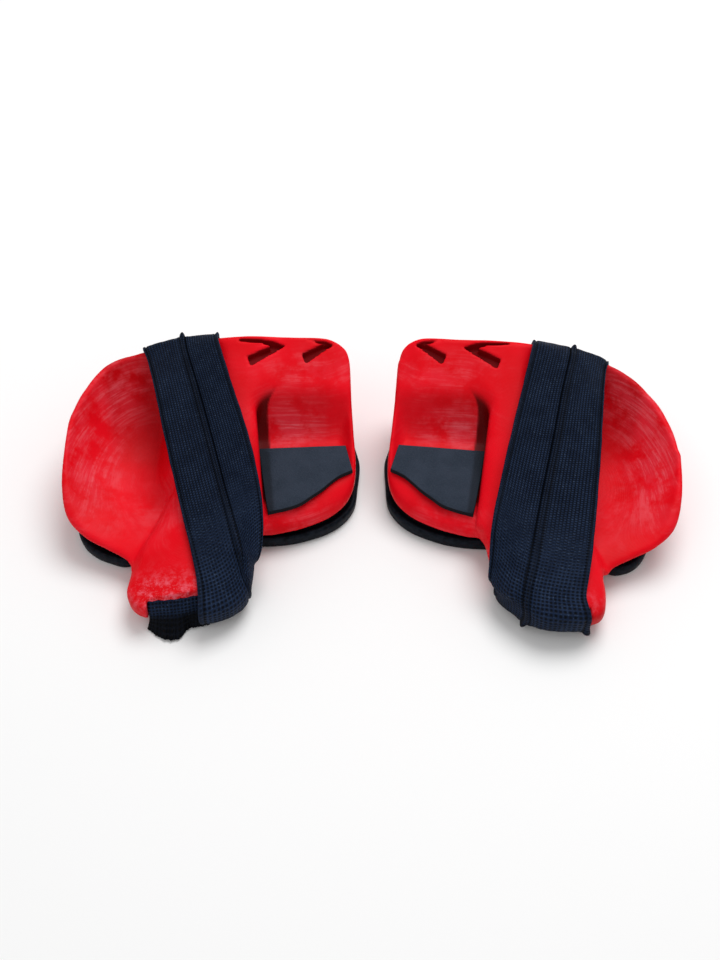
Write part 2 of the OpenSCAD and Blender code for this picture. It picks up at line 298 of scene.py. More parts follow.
def sample(field, p):
    """The field at points, between its grid points."""
    g = np.clip((p - GRID_LOW) / STEP, 0, np.array(field.shape) - 1.001)
    i = g.astype(int)
    t = g - i
    total = 0
    for dx in (0, 1):
        for dy in (0, 1):
            for dz in (0, 1):
                share = np.where(dx, t[:, 0], 1 - t[:, 0]) * np.where(dy, t[:, 1], 1 - t[:, 1])
                share = share * np.where(dz, t[:, 2], 1 - t[:, 2])
                total = total + share * field[i[:, 0] + dx, i[:, 1] + dy, i[:, 2] + dz]
    return total


def slope_at(field, p, d=0.7):
    return np.stack([(sample(field, p + d * e) - sample(field, p - d * e)) / (2 * d) for e in np.eye(3)], -1)


def surface(field):
    """Quads through the field's zero, one point for each cell that it crosses."""
    inside = field < 0
    cells = np.array(field.shape) - 1
    count = np.zeros(cells, np.int8)
    place = np.zeros((*cells, 3), np.float32)
    for axis in range(3):
        b, c = [k for k in range(3) if k != axis]
        for ob in (0, 1):
            for oc in (0, 1):
                cut = [slice(None)] * 3
                cut[axis] = slice(0, -1)
                cut[b] = slice(ob, ob + cells[b])
                cut[c] = slice(oc, oc + cells[c])
                f0 = field[tuple(cut)]
                cut[axis] = slice(1, None)
                f1 = field[tuple(cut)]
                cross = (f0 < 0) != (f1 < 0)
                count += cross
                t = np.where(cross, f0 / np.where(cross, f0 - f1, 1), 0)
                place[..., axis] += t
                place[..., b] += cross * ob
                place[..., c] += cross * oc
    active = count > 0
    index = np.full(cells, -1)
    index[active] = np.arange(active.sum())
    where = np.argwhere(active)
    points = GRID_LOW + STEP * (where + place[active] / count[active][:, None])
    quads = []
    for axis in range(3):
        b, c = (axis + 1) % 3, (axis + 2) % 3
        first = [slice(1, -1)] * 3
        first[axis] = slice(0, -1)
        second = list(first)
        second[axis] = slice(1, None)
        a0, a1 = inside[tuple(first)], inside[tuple(second)]
        for sign in (True, False):
            at = np.argwhere((a0 != a1) & (a0 == sign)) + 1
            at[:, axis] -= 1
            step_b, step_c = np.eye(3, dtype=int)[b], np.eye(3, dtype=int)[c]
            ring = [at - step_b - step_c, at - step_c, at, at - step_b]
            quad = np.stack([index[tuple(r.T)] for r in ring], -1)
            quads.append(quad if sign else quad[:, ::-1])
    return points, np.concatenate(quads)


def relax(points, quads, field, rounds=3):
    """Points evened out over the surface, each pulled back on to the field's zero."""
    a = quads.ravel()
    b = np.roll(quads, -1, 1).ravel()
    for _ in range(rounds):
        total = np.zeros_like(points)
        for k in range(3):
            total[:, k] = np.bincount(a, points[b, k], len(points)) + np.bincount(b, points[a, k], len(points))
        count = np.bincount(a, minlength=len(points)) + np.bincount(b, minlength=len(points))
        points = mix(points, total / count[:, None], 0.5)
        for _ in range(2):
            g = slope_at(field, points)
            size = np.maximum((g * g).sum(1), 0.15)
            points = points - np.clip(sample(field, points) / size, -0.6, 0.6)[:, None] * g
    return points


# ---------------------------------------------------------------- meshes


def placed(side, p):
    """Points of one shield's own frame, in mm, as points of the row frame, in metres."""
    x, y, z = np.asarray(p, float).T
    if side == "left":
        return np.stack([x - UNIT_X, y + CENTRE_Y, z], -1) * MM
    c, s = math.cos(TURN), math.sin(TURN)
    return np.stack([UNIT_X - (x * c - y * s), x * s + y * c - STEP_Y + CENTRE_Y, z], -1) * MM


def make(name, side, points, faces, material, body, **attributes):
    """A mesh object from points in a shield's own frame, with a value per point for each attribute."""
    if side == "right":  # it's a mirror image, so its faces turn over
        faces = [f[::-1] for f in faces]
    mesh = bpy.data.meshes.new(name)
    mesh.vertices.add(len(points))
    mesh.vertices.foreach_set("co", placed(side, points).astype(np.float32).ravel())
    sizes = np.array([len(f) for f in faces])
    flat = np.concatenate(list(faces))
    mesh.loops.add(len(flat))
    mesh.loops.foreach_set("vertex_index", flat.astype(np.int32))
    mesh.polygons.add(len(sizes))
    mesh.polygons.foreach_set("loop_start", np.concatenate([[0], np.cumsum(sizes)[:-1]]).astype(np.int32))
    mesh.polygons.foreach_set("loop_total", sizes.astype(np.int32))
    mesh.update(calc_edges=True)
    mesh.validate()
    mesh.polygons.foreach_set("use_smooth", np.full(len(mesh.polygons), True))
    for key, values in attributes.items():
        kind = "FLOAT" if values.ndim == 1 else "FLOAT_VECTOR"
        layer = mesh.attributes.new(key, kind, "POINT")
        layer.data.foreach_set("value" if values.ndim == 1 else "vector", values.astype(np.float32).ravel())
    piece = bpy.data.objects.new(name, mesh)
    bpy.context.scene.collection.objects.link(piece)
    mesh.materials.append(material)
    if body:
        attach(piece, body)
    return piece


def grid_faces(rows, cols):
    """Quads between rows of points, each row a closed loop."""
    i, j = np.meshgrid(np.arange(rows - 1), np.arange(cols), indexing="ij")
    a, b = i * cols + j, i * cols + (j + 1) % cols
    return np.stack([a, b, b + cols, a + cols], -1).reshape(-1, 4)


def lofted(rings, first, last):
    """Points and faces through closed rings, each end closed by a fan to a middle point."""
    rings = np.asarray(rings, float)
    rows, cols = rings.shape[:2]
    points = np.concatenate([rings.reshape(-1, 3), [first, last]])
    faces = list(grid_faces(rows, cols))
    j = np.arange(cols)
    a, b = j, (j + 1) % cols
    faces += list(np.stack([b, a, np.full(cols, rows * cols)], -1))
    a, b = a + (rows - 1) * cols, b + (rows - 1) * cols
    faces += list(np.stack([a, b, np.full(cols, rows * cols + 1)], -1))
    return points, faces


def wrapped(over, under=None):
    """Rows of values over a thin sheet's top and back along its underside, so each row is a closed loop."""
    return np.concatenate([over, (over if under is None else under)[:, ::-1]], 1)


def sheet_faces(rows, cols, ends=(True, True), turned=False):
    """Faces for a thin sheet's closed rows, and for those of its two cut ends that are real."""
    faces = list(grid_faces(rows, cols))
    for real, row, flip in zip(ends, (0, rows - 1), (True, False)):
        if real:
            b = row * cols
            cap = [np.array([b + j, b + j + 1, b + cols - 2 - j, b + cols - 1 - j]) for j in range(cols // 2 - 1)]
            faces += [q[::-1] if flip else q for q in cap]
    return [f[::-1] for f in faces] if turned else faces


def waves(p, scales, seed):
    """Smooth pseudo-random waves, about -1 to 1."""
    r = np.random.default_rng(seed)
    total = np.zeros(len(p))
    for scale in scales:
        for _ in range(4):
            k = r.normal(size=3)
            k = k / np.linalg.norm(k) * 2 * np.pi / scale
            total += np.sin(p @ k + r.uniform(0, 6.28)) / (2 * len(scales))  # 6.28: anywhere in a full turn
    return total


# ---------------------------------------------------------------- materials


class Nodes:
    """A short way to write a material's nodes."""

    def __init__(self, name):
        self.material = bpy.data.materials.new(name)
        self.material.use_nodes = True
        self.tree = self.material.node_tree
        self.shader = self.tree.nodes["Principled BSDF"]

    def new(self, kind, inputs=(), out=0, **settings):
        node = self.tree.nodes.new(kind)
        for key, value in settings.items():
            setattr(node, key, value)
        for key, value in dict(inputs).items():
            self.put(node.inputs[key], value)
        return node.outputs[out]

    def put(self, socket, value):
        if isinstance(value, bpy.types.NodeSocket):
            self.tree.links.new(value, socket)
        else:
            socket.default_value = value

    def math(self, operation, a, b=None, c=None, clamp=False):
        given = {k: v for k, v in enumerate((a, b, c)) if v is not None}
        return self.new("ShaderNodeMath", given, operation=operation, use_clamp=clamp)

    def attribute(self, name, out="Fac"):
        return self.new("ShaderNodeAttribute", out=out, attribute_name=name)

    def where(self, scale=(1000, 1000, 1000)):
        """The object's own coordinates, in mm unless scaled otherwise."""
        p = self.new("ShaderNodeTexCoord", out="Object")
        return self.new("ShaderNodeMapping", {"Vector": p, "Scale": scale})

    def noise(self, vector, scale, detail=2.0, rough=0.5):
        inputs = {"Vector": vector, "Scale": scale, "Detail": detail, "Roughness": rough}
        return self.new("ShaderNodeTexNoise", inputs)

    def ramp(self, value, low, high):
        return self.new("ShaderNodeMapRange", {"Value": value, "From Min": low, "From Max": high},
                        interpolation_type="SMOOTHSTEP")

    def blend(self, factor, a, b):
        node = self.tree.nodes.new("ShaderNodeMix")
        node.data_type = "RGBA"
        for socket, value in ((0, factor), (6, a), (7, b)):
            self.put(node.inputs[socket], value)
        return node.outputs[2]

    def bump(self, height, distance, strength=1.0, normal=None):
        inputs = {"Height": height, "Distance": distance, "Strength": strength}
        if normal is not None:
            inputs["Normal"] = normal
        return self.new("ShaderNodeBump", inputs)

    def finish(self, **inputs):
        for key, value in inputs.items():
            self.put(self.shader.inputs[key.replace("_", " ")], value)
        return self.material


LAYER = 0.28   # mm


def shell_material():
    n = Nodes("printed_red")
    p = n.where()
    z = n.new("ShaderNodeSeparateXYZ", {0: p}, out=2)
    scuff, pits, flat = n.attribute("scuff"), n.attribute("pits"), n.attribute("flat")
    # printed layers that wander a little
    drift = n.noise(p, 0.02, 1)
    level = n.math("ADD", n.math("MULTIPLY", z, 1 / LAYER), n.math("MULTIPLY", drift, 3.0))
    layer = n.math("PINGPONG", level, 0.5)
    # brushed streaks run along the layers; they carry real brushing and a painted sheen
    along = n.where((45, 45, 900))
    streak = n.ramp(n.noise(along, 1.0, 4, 0.7), 0.42, 0.66)
    patch = n.ramp(n.noise(p, 0.075, 4, 0.65), 0.35, 0.62)
    haze_and_sheen = n.math("MULTIPLY", patch, scuff, clamp=True)
    worn_and_glint = n.math("MULTIPLY", streak, haze_and_sheen, clamp=True)
    worn_and_glint = n.math("ADD", worn_and_glint, n.math("MULTIPLY", n.ramp(n.noise(p, 1.0, 4, 0.7), 0.52, 0.68), pits), clamp=True)
    rubbed = n.math("MULTIPLY", n.ramp(n.noise(p, 0.20, 5, 0.75), 0.43, 0.66), pits, clamp=True)
    tone = n.noise(p, 0.03, 3)
    red = n.blend(n.ramp(tone, 0.3, 0.7), (0.68, 0.0006, 0.006, 1), (0.80, 0.0025, 0.012, 1))
    # painted shade: a deeper red where shade falls
    red = n.blend(n.math("MULTIPLY", n.attribute("deep"), 0.8), red, (0.42, 0.0, 0.002, 1))
    # a real haze, and a painted sheen over the soft spots
    colour = n.blend(n.math("MULTIPLY", haze_and_sheen, 0.55), red, (0.74, 0.050, 0.080, 1))
    # painted glints along the brushed streaks, and real wear where the print is pitted
    colour = n.blend(n.math("MULTIPLY", worn_and_glint, 0.27), colour, (0.93, 0.30, 0.35, 1))
    colour = n.blend(n.math("MULTIPLY", rubbed, 0.70), colour, (0.85, 0.22, 0.30, 1))
    # painted shade in the recesses: under the ridge's overhang and in the chevrons
    colour = n.blend(n.attribute("recess"), colour, (0.105, 0.0, 0.0005, 1))
    rough = n.math("MULTIPLY_ADD", n.noise(along, 1.0, 3), 0.25, 0.32)
    grain = n.noise(p, 0.9, 3, 0.6)
    bump = n.bump(layer, 0.00006, n.math("MULTIPLY", flat, 0.8))
    bump = n.bump(worn_and_glint, 0.00010, 0.5, bump)
    bump = n.bump(grain, 0.0005, n.math("ADD", n.math("MULTIPLY", pits, 0.6), 0.08), bump)
    return n.finish(Base_Color=colour, Roughness=rough, Normal=bump, Specular_IOR_Level=0.07)


def strap_material(name):
    """Ribbed elastic. The attribute weave holds a point's rib, its stitch, and how far the weave is open there."""
    n = Nodes(name)
    p = n.where()
    u, v, wide = n.new("ShaderNodeSeparateXYZ", {0: n.attribute("weave", "Vector")}).node.outputs
    plain = n.attribute("plain")
    rib = n.math("ABSOLUTE", n.math("SINE", n.math("MULTIPLY", u, math.pi)))
    shift = n.math("MULTIPLY", n.math("FLOORED_MODULO", n.math("FLOOR", u), 2.0), 0.5)
    wobble = n.math("MULTIPLY", n.noise(p, 0.7, 2), 0.35)
    turns = n.math("ADD", n.math("ADD", v, shift), wobble)
    stitch = n.math("ABSOLUTE", n.math("SINE", n.math("MULTIPLY", turns, math.pi)))
    knit = n.math("MULTIPLY", n.math("POWER", rib, 0.6), n.math("MULTIPLY_ADD", stitch, 0.72, 0.28))
    across = n.math("ABSOLUTE", n.math("SINE", n.math("MULTIPLY", v, math.pi)))
    hole = n.math("MULTIPLY", n.math("POWER", rib, 1.3), n.math("POWER", across, 1.3))
    net = n.math("SUBTRACT", 1.0, hole)
    height = n.math("ADD", n.math("MULTIPLY", knit, n.math("SUBTRACT", 1.0, wide)), n.math("MULTIPLY", net, wide))
    height = n.math("ADD", n.math("MULTIPLY", height, n.math("SUBTRACT", 1.0, plain)), n.math("MULTIPLY", plain, 0.6))
    tone = n.noise(p, 0.12, 3)
    thread = n.blend(n.ramp(tone, 0.3, 0.7), (0.006, 0.016, 0.046, 1), (0.013, 0.028, 0.070, 1))
    # painted shade: darker down between the ribs and stitches
    colour = n.blend(n.math("POWER", height, 1.6), (0.0004, 0.0007, 0.0016, 1), thread)
    # painted highlight: lighter thread tops where light catches them
    painted_gleam = n.math("MULTIPLY", n.ramp(n.noise(p, 1.1, 2), 0.56, 0.72), n.math("POWER", height, 2.0))
    colour = n.blend(n.math("MULTIPLY", painted_gleam, 0.6), colour, (0.055, 0.085, 0.145, 1))
    # painted shade from the dark attribute: in the grooves and under the spout
    colour = n.blend(n.attribute("dark"), colour, (0.0003, 0.0003, 0.0006, 1))
    bump = n.bump(height, 0.0006, 1.0)
    bump = n.bump(n.noise(p, 4.0, 2), 0.00012, 0.5, bump)
    return n.finish(Base_Color=colour, Roughness=0.62, Normal=bump, Specular_IOR_Level=0.08)


def rubber_material():
    n = Nodes("facing_rubber")
    p = n.where()
    edge = n.attribute("edge")
    tone = n.ramp(n.noise(p, 0.08, 4, 0.6), 0.3, 0.7)
    dark = n.blend(tone, (0.0006, 0.0012, 0.0022, 1), (0.0018, 0.0034, 0.0060, 1))
    # painted highlight along the rounded lower edge
    colour = n.blend(n.math("MULTIPLY", edge, n.ramp(n.noise(p, 0.5, 3), 0.25, 0.7)), dark, (0.009, 0.013, 0.020, 1))
    rough = n.math("MULTIPLY_ADD", n.noise(p, 0.25, 3), 0.3, 0.32)
    bump = n.bump(n.noise(p, 1.6, 3), 0.0003, 0.35)
    return n.finish(Base_Color=colour, Roughness=rough, Normal=bump, Specular_IOR_Level=0.05)


def foam_material():
    n = Nodes("pad_foam")
    p = n.where()
    cells = n.new("ShaderNodeTexVoronoi", {"Vector": p, "Scale": 2.2}, out="Distance")
    speck = n.ramp(n.noise(p, 2.4, 2), 0.35, 0.75)
    tone = n.ramp(n.noise(p, 0.09, 3), 0.3, 0.7)
    grey = n.blend(tone, (0.019, 0.027, 0.042, 1), (0.027, 0.036, 0.055, 1))
    colour = n.blend(n.math("MULTIPLY", speck, 0.5), grey, (0.044, 0.058, 0.080, 1))
    # the pad's sides darker, and painted shadow next to the bay's wall
    side = n.attribute("wall")
    colour = n.blend(n.math("MULTIPLY", side, 0.9), colour, (0.007, 0.008, 0.010, 1))
    bump = n.bump(cells, 0.00025, 0.6)
    bump = n.bump(n.noise(p, 0.35, 2), 0.0005, 0.25, bump)
    return n.finish(Base_Color=colour, Roughness=0.9, Normal=bump, Specular_IOR_Level=0.12)


def hook_material():
    n = Nodes("hook_tape")
    p = n.where()
    hooks = n.new("ShaderNodeTexVoronoi", {"Vector": p, "Scale": 1.1}, out="Distance")
    colour = n.blend(n.ramp(hooks, 0.1, 0.5), (0.03, 0.03, 0.032, 1), (0.006, 0.006, 0.007, 1))
    return n.finish(Base_Color=colour, Roughness=0.8, Normal=n.bump(hooks, 0.0006, 0.8))


# ---------------------------------------------------------------- pieces

RED = shell_material()
RUBBER = rubber_material()
FOAM = foam_material()
HOOK = hook_material()
ELASTIC = {side: strap_material(side + "_elastic") for side in SIDES}

FIELD, SMOOTH = {}, {}   # each shell as printed, and without its slot and chevrons
for side in SIDES:
    FIELD[side], SMOOTH[side] = shell_field(side)


# soft spots on the shell, where it is scuffed, pitted, painted with sheen and painted with shade: how strong, the
# middle, and the sizes
SCUFF_AND_SHEEN_SPOTS = [(1.0, (-58, 4, 35), (16, 34, 24)), (0.8, (-40, 42, 44), (22, 16, 16)),
           (0.45, (-20, -22, 24), (22, 20, 14)), (1.0, (40, 22, 32), (18, 10, 13)),
           (0.5, (52, 44, 52), (30, 10, 10)), (0.5, (48, -26, 16), (30, 9, 10))]
PITTED = [(0.9, (-16, -72, 18), (22, 10, 14)), (-0.5, (-32, -75, 8), (9, 7, 8))]
# painted shade: where the red is painted deeper
PAINTED_SHADE_SPOTS = [(0.4, (50, 30, 30), (22, 8, 12)), (0.6, (-30, -74, 9), (9, 6, 7)), (0.55, (46, 33, 43), (26, 5, 7))]
PAINTED_SHADE_RIGHT = [(0.8, (-30, -76, 13), (11, 9, 8))]


def spots(p, table):
    return sum(most * np.exp(-(((p - np.array(middle)) / np.array(sizes)) ** 2).sum(1))
               for most, middle, sizes in table)


def shell(side):
    p, quads = surface(FIELD[side])
    p = relax(p, quads, FIELD[side])
    up = np.clip(unit(slope_at(FIELD[side], p))[:, 2], 0, 1)
    scuff, pits = spots(p, SCUFF_AND_SHEEN_SPOTS), spots(p, PITTED)
    x, y, z = p.T
    # painted shade: deeper red in the strap's shadow, in the bay's shade and at the spout's shaded front
    deep = 0.85 * sstep(-52, -45, x + 0.15 * y) * sstep(2, 38, y) * sstep(4, -8, x) + spots(p, PAINTED_SHADE_SPOTS)
    if side == "right":  # its spout's end is smoother, with more painted shade
        pits, deep = 0.3 * pits, deep + spots(p, PAINTED_SHADE_RIGHT)
    # painted shade: dark under the ridge's overhang and in the chevrons
    lip = bay_wall_x(y) + 9 * sstep(24, 42, y) ** 2
    overhang_shade = (sstep(5.6, 4.6, x - lip) * sstep(-9, -7, x - lip) * sstep(1.0, 4.5, high(np.minimum(x, lip), y) - z)
            * sstep(-20, -15, y) * sstep(40, 34, y) * (z > 14))
    groove = np.zeros(len(p))
    for points in CHEVRONS:
        groove = np.maximum(groove, sstep(0.7, 0.2, polygon_distance(np.array(points), x, y)) * (z > CHEVRON_LOW)
                            * sstep(-0.25, -0.6, sample(SMOOTH[side], p)))
    body = side + "_shield"
    piece = make(side + "_shell_print", side, p, quads, RED, body, scuff=np.clip(scuff, 0, 1),
                 pits=np.clip(pits, 0, 1), flat=sstep(0.25, 0.8, up), recess=np.maximum(overhang_shade, groove * 0.85),
                 deep=np.clip(deep, 0, 1))
    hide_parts(side + "_shell")


def inset(loop, amount):
    """A closed plan outline moved inwards, whichever way it runs."""
    ahead, behind = np.roll(loop, -1, 0), np.roll(loop, 1, 0)
    way = unit(ahead - behind)
    out = np.stack([way[:, 1], -way[:, 0]], -1)
    area = (loop[:, 0] * ahead[:, 1] - ahead[:, 0] * loop[:, 1]).sum()
    return loop - out * amount * (1 if area > 0 else -1)


FACE_HIGH = 10.4   # the facings' top, hidden in the shell's underside
# how far in from the outline, and how high, from inside the shell round the edge to the ground
FACE_PROFILE = [(9, FACE_HIGH), (5.4, FACE_HIGH), (5.0, 9.0), (4.6, 7.6), (3.6, 6.9), (2.4, 7.0), (1.3, 7.3),
                (0.5, 7.1), (-0.1, 6.3), (-0.3, 5.2), (-0.25, 3.6), (-0.1, 1.8), (0.1, 0.7), (0.6, 0.15), (1.4, 0.0),
                (6, 0.0)]
FACINGS = {
    "bay_facing": [[4, -22], [12, -28], [26, -29.5], [40, -28.5], [51, -25.5], [61, -21], [69, -14.5], [74, -6],
                   [75.5, 6], [76.5, 18], [75, 27], [71, 38], [60, 45], [30, 47], [8, 38], [0, 20], [0, -8]],
    "bowl_facing": [[-40, -42], [-49, -40], [-57, -36], [-63, -30], [-66, -22], [-64, -8], [-54, 6], [-40, 8],
                    [-30, -2], [-29, -20], [-33, -36]],
}


def facing(side, name):
    loop = loop_points(FACINGS[name], 16)
    if name == "bay_facing":
        loop[:, 0] -= 0.7 * sstep(60, 74, loop[:, 0])
    elif side == "right":  # it's hidden further under the shell
        loop[:, 0] = np.where(loop[:, 0] < -48, -48 + 0.6 * (loop[:, 0] + 48), loop[:, 0])
    middle = loop.mean(0)
    three = np.concatenate([loop, np.zeros((len(loop), 1))], 1)
    lift = 0.5 * waves(three, (38, 17), 3 if name == "bay_facing" else 5)
    rings, edge = [], []
    for depth, z in FACE_PROFILE:
        ring = inset(loop, depth)
        share = float(sstep(0.5, 3, z) * sstep(10, 7.5, z))
        rings.append(np.concatenate([ring, (z + lift * share)[:, None]], 1))
        # painted highlight: the edge value lights the rounded lower edge
        edge.append(np.full(len(loop), float(sstep(2.0, 0.4, depth) * sstep(0.2, 2.4, z))))
    points, faces = lofted(rings[::-1], (*middle, 0.0), (*middle, FACE_HIGH))
    edge = np.concatenate([*edge[::-1], [0, 0]])
    faces = [f[::-1] for f in faces]
    piece = make(f"{side}_{name}_rubber", side, points, faces, RUBBER, side + "_shield", edge=edge)
    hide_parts(f"{side}_{name}")


PAD = np.array([[24.6, 12.6], [68.9, 14.5], [72.5, -0.2], [65.8, -3.6], [61.5, -7.2], [57.1, -11.4], [51.7, -15.5],
                [46.0, -19.4], [39.0, -21.9], [33.5, -23.2], [30.4, -23.9], [29.4, -19.0], [26.6, -1.4]], float)
SOFT_CORNERS = {3, 4, 5, 6, 7, 8, 9, 11, 12}   # points of the outline that only bend it
PAD_MIDDLE, PAD_TOP = np.array([46.0, 1.0]), 3.03
# the share of the way in to the middle, how far in from the outline, and how high above the bay's floor
PAD_PROFILE = [(0.5, 0, 0.02), (0, 0.9, -0.05), (0, 0.25, 0.0), (0, 0.05, 0.5), (0, 0.0, 1.2), (0, 0.02, 2.2),
               (0, 0.08, 2.75), (0, 0.25, 2.95), (0, 0.6, 3.0)] + [(0.03 * k, 0, PAD_TOP) for k in range(2, 32)]


def pad_outline():
    """The pad's die-cut outline: crisp corners, and smooth curves through the points between them."""
    n = len(PAD)
    out = []
    for i in range(n):
        a, b = PAD[i], PAD[(i + 1) % n]
        before = PAD[i - 1] if i in SOFT_CORNERS else 2 * a - b
        after = PAD[(i + 2) % n] if (i + 1) % n in SOFT_CORNERS else 2 * b - a
        for t in np.arange(14) / 14:
            out.append(catmull(before, a, b, after, t))
    return np.array(out)


def foam_pad(side):
    loop = pad_outline()
    rings, sides_and_shadow = [], []
    for share, depth, h in PAD_PROFILE:
        ring = mix(inset(loop, depth), PAD_MIDDLE, share)
        three = np.concatenate([ring, np.zeros((len(ring), 1))], 1)
        rise = h + (0.10 * waves(three, (24, 11), 4) if h > 2.9 else 0)
        rings.append(np.concatenate([ring, (bay_floor(ring[:, 0], ring[:, 1]) + rise)[:, None]], 1))
        shade = 0.62 * sstep(5.6, 3.6, ring[:, 0] - bay_wall_x(ring[:, 1]))   # painted shadow: darker right under the wall's overhang
        sides_and_shadow.append(np.maximum(shade, 1.0 if 0 <= h < 2.8 and share == 0 else 0.0))
    z = float(bay_floor(*PAD_MIDDLE))
    points, faces = lofted(rings, (*PAD_MIDDLE, z + 0.02), (*PAD_MIDDLE, z + PAD_TOP))
    sides_and_shadow = np.concatenate([*sides_and_shadow, [0, 0]])
    piece = make(side + "_foam_pad_sheet", side, points, faces, FOAM, side + "_shield", wall=sides_and_shadow)
    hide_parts(side + "_foam_pad")


# ---------------------------------------------------------------- straps

# the weave, in mm: from rib to rib, and from stitch to stitch
STRAP_RIB, TAIL_RIB = 1.55, 1.7
CLOSED_STITCH, OPEN_STITCH, SHEET_STITCH, TAIL_STITCH = 1.15, 1.75, 1.6, 1.9
OPEN = 0.85   # how far the weave opens at most

# for each strap's outer edge, seam and inner edge: where it leaves the far wall, as a place along the outline, five
# points on its way, and where it meets the spout
STRAPS = {
    "left": ([5.95, 4.85, 3.8],
             [[[-27.5, 32, 47.5], [-21.5, 8, 42], [-14.5, -18, 36.3], [-9, -38, 31.5], [-4.5, -54, 28]],
              [[-6.8, 32, 53.5], [1, 6, 46.8], [8.5, -20, 39.8], [14, -38, 34], [18, -52, 28.5]],
              [[12.5, 30, 56], [21, 5, 49], [27.3, -20, 40.5], [29.3, -37, 30], [27.0, -49, 20]]],
             [19.5, 21.4, 22.2]),
    "right": ([6.1, 5.1, 3.85],
              [[[-33.5, 30, 47], [-31.8, 5, 41.5], [-29.5, -20, 36], [-27.5, -40, 31], [-25.5, -56, 26.5]],
               [[-13.5, 32, 53], [-9, 6, 46.4], [-4, -20, 39.4], [-0.5, -40, 33.5], [2, -55, 28.5]],
               [[8.5, 30, 56], [14, 5, 49], [19, -20, 41], [22.5, -40, 34], [22.6, -53, 21]]],
              [18.2, 19.9, 21.5]),
}
COLUMN = 0.4   # the pitch across a strap
ROW = 1.0      # and along it
WALL_STEPS, WAY_STEPS, SPOUT_STEPS = 14, 5, 20
FINE = 12   # points between two of the path's own


def normal_at(s, v):
    """The skin's outward direction."""
    a = skin(s + 0.2, v) - skin(s - 0.2, v)
    b = skin(s, v - 0.03) - skin(s, v + 0.03)
    return unit(np.cross(a, b))


def resample(path, count, marked):
    """Evenly spaced points along a smooth curve through path (points, columns, 3), each column's length, and the
    row at which each marked point of the path now lies."""
    n = len(path)
    dense = []
    for i in range(n - 1):
        p = [path[max(i - 1, 0)], path[i], path[i + 1], path[min(i + 2, n - 1)]]
        chord = [np.maximum(np.linalg.norm(p[k + 1] - p[k], axis=-1, keepdims=True), 1e-3) ** 0.5 for k in range(3)]
        m1 = m2 = p[2] - p[1]
        if i:
            m1 = m1 + chord[1] * ((p[1] - p[0]) / chord[0] - (p[2] - p[0]) / (chord[0] + chord[1]))
        if i < n - 2:
            m2 = m2 + chord[1] * ((p[3] - p[2]) / chord[2] - (p[3] - p[1]) / (chord[1] + chord[2]))
        for t in np.arange(FINE) / FINE:
            t2, t3 = t * t, t ** 3
            dense.append((2 * t3 - 3 * t2 + 1) * p[1] + (t3 - 2 * t2 + t) * m1
                         + (3 * t2 - 2 * t3) * p[2] + (t3 - t2) * m2)
    dense.append(path[-1])
    dense = np.array(dense)
    out = np.zeros((count, dense.shape[1], 3))
    lengths, marks = [], []
    for j in range(dense.shape[1]):
        far = np.concatenate([[0], np.cumsum(np.linalg.norm(np.diff(dense[:, j], axis=0), axis=1))])
        lengths.append(far[-1])
        marks.append([far[FINE * i] / far[-1] * (count - 1) for i in marked])
        even = np.linspace(0, far[-1], count)
        for k in range(3):
            out[:, j, k] = np.interp(even, far, dense[:, j, k])
    return out, np.array(lengths), np.array(marks).T


def strap_lines(side):
    """The strap's underside before it is hugged to the shell: rows along it, columns across it."""
    far, way, spout = STRAPS[side]
    u = np.arange(0, WIDTH + 0.01, COLUMN)
    c = 2 * u / WIDTH
    k = (c >= 1).astype(int)
    t = c - k
    k1 = np.minimum(k + 1, 2)
    s_far = mix(np.array(far)[k], np.array(far)[k1], t)
    s_end = mix(np.array(spout)[k], np.array(spout)[k1], t)
    way = np.array(way)
    # the inner edge meets the spout lower down its side than the outer edge does
    meet = mix(0.92, 1.22, sstep(1.0, 2.0, c))
    path = [skin(s_far, v) + PATCH * normal_at(s_far, v) for v in np.linspace(1.6, 0.97, WALL_STEPS)]
    path += [mix(way[k, i], way[k1, i], t[:, None]) for i in range(WAY_STEPS)]
    for r in np.linspace(0, 1, SPOUT_STEPS):
        v = mix(meet, 2.25, r)
        path.append(skin(s_end, v) + PATCH * normal_at(s_end, v))
    return u, *resample(np.array(path), int(215 / ROW), (WALL_STEPS - 1, WALL_STEPS + WAY_STEPS + 1))


def hugged(side, points, gap, pull=0.0, rounds=4):
    """Points moved out until they clear the printed shell by gap. Where pull is 1 they are moved in to it too."""
    flat = points.reshape(-1, 3)
    pull = np.broadcast_to(pull, points.shape[:-1]).reshape(-1)
    for _ in range(rounds):
        g = unit(slope_at(SMOOTH[side], flat))
        inside = (np.abs(flat - (GRID_LOW + GRID_HIGH) / 2) < (GRID_HIGH - GRID_LOW) / 2).all(1)
        flat = flat + g * (np.clip(gap - sample(SMOOTH[side], flat), -1.5 * pull, 1.5) * inside)[:, None]
    return flat.reshape(points.shape)


def gauss(x, width):
    """1 at 0, and fading over a width."""
    return np.exp(-(x / width) ** 2)


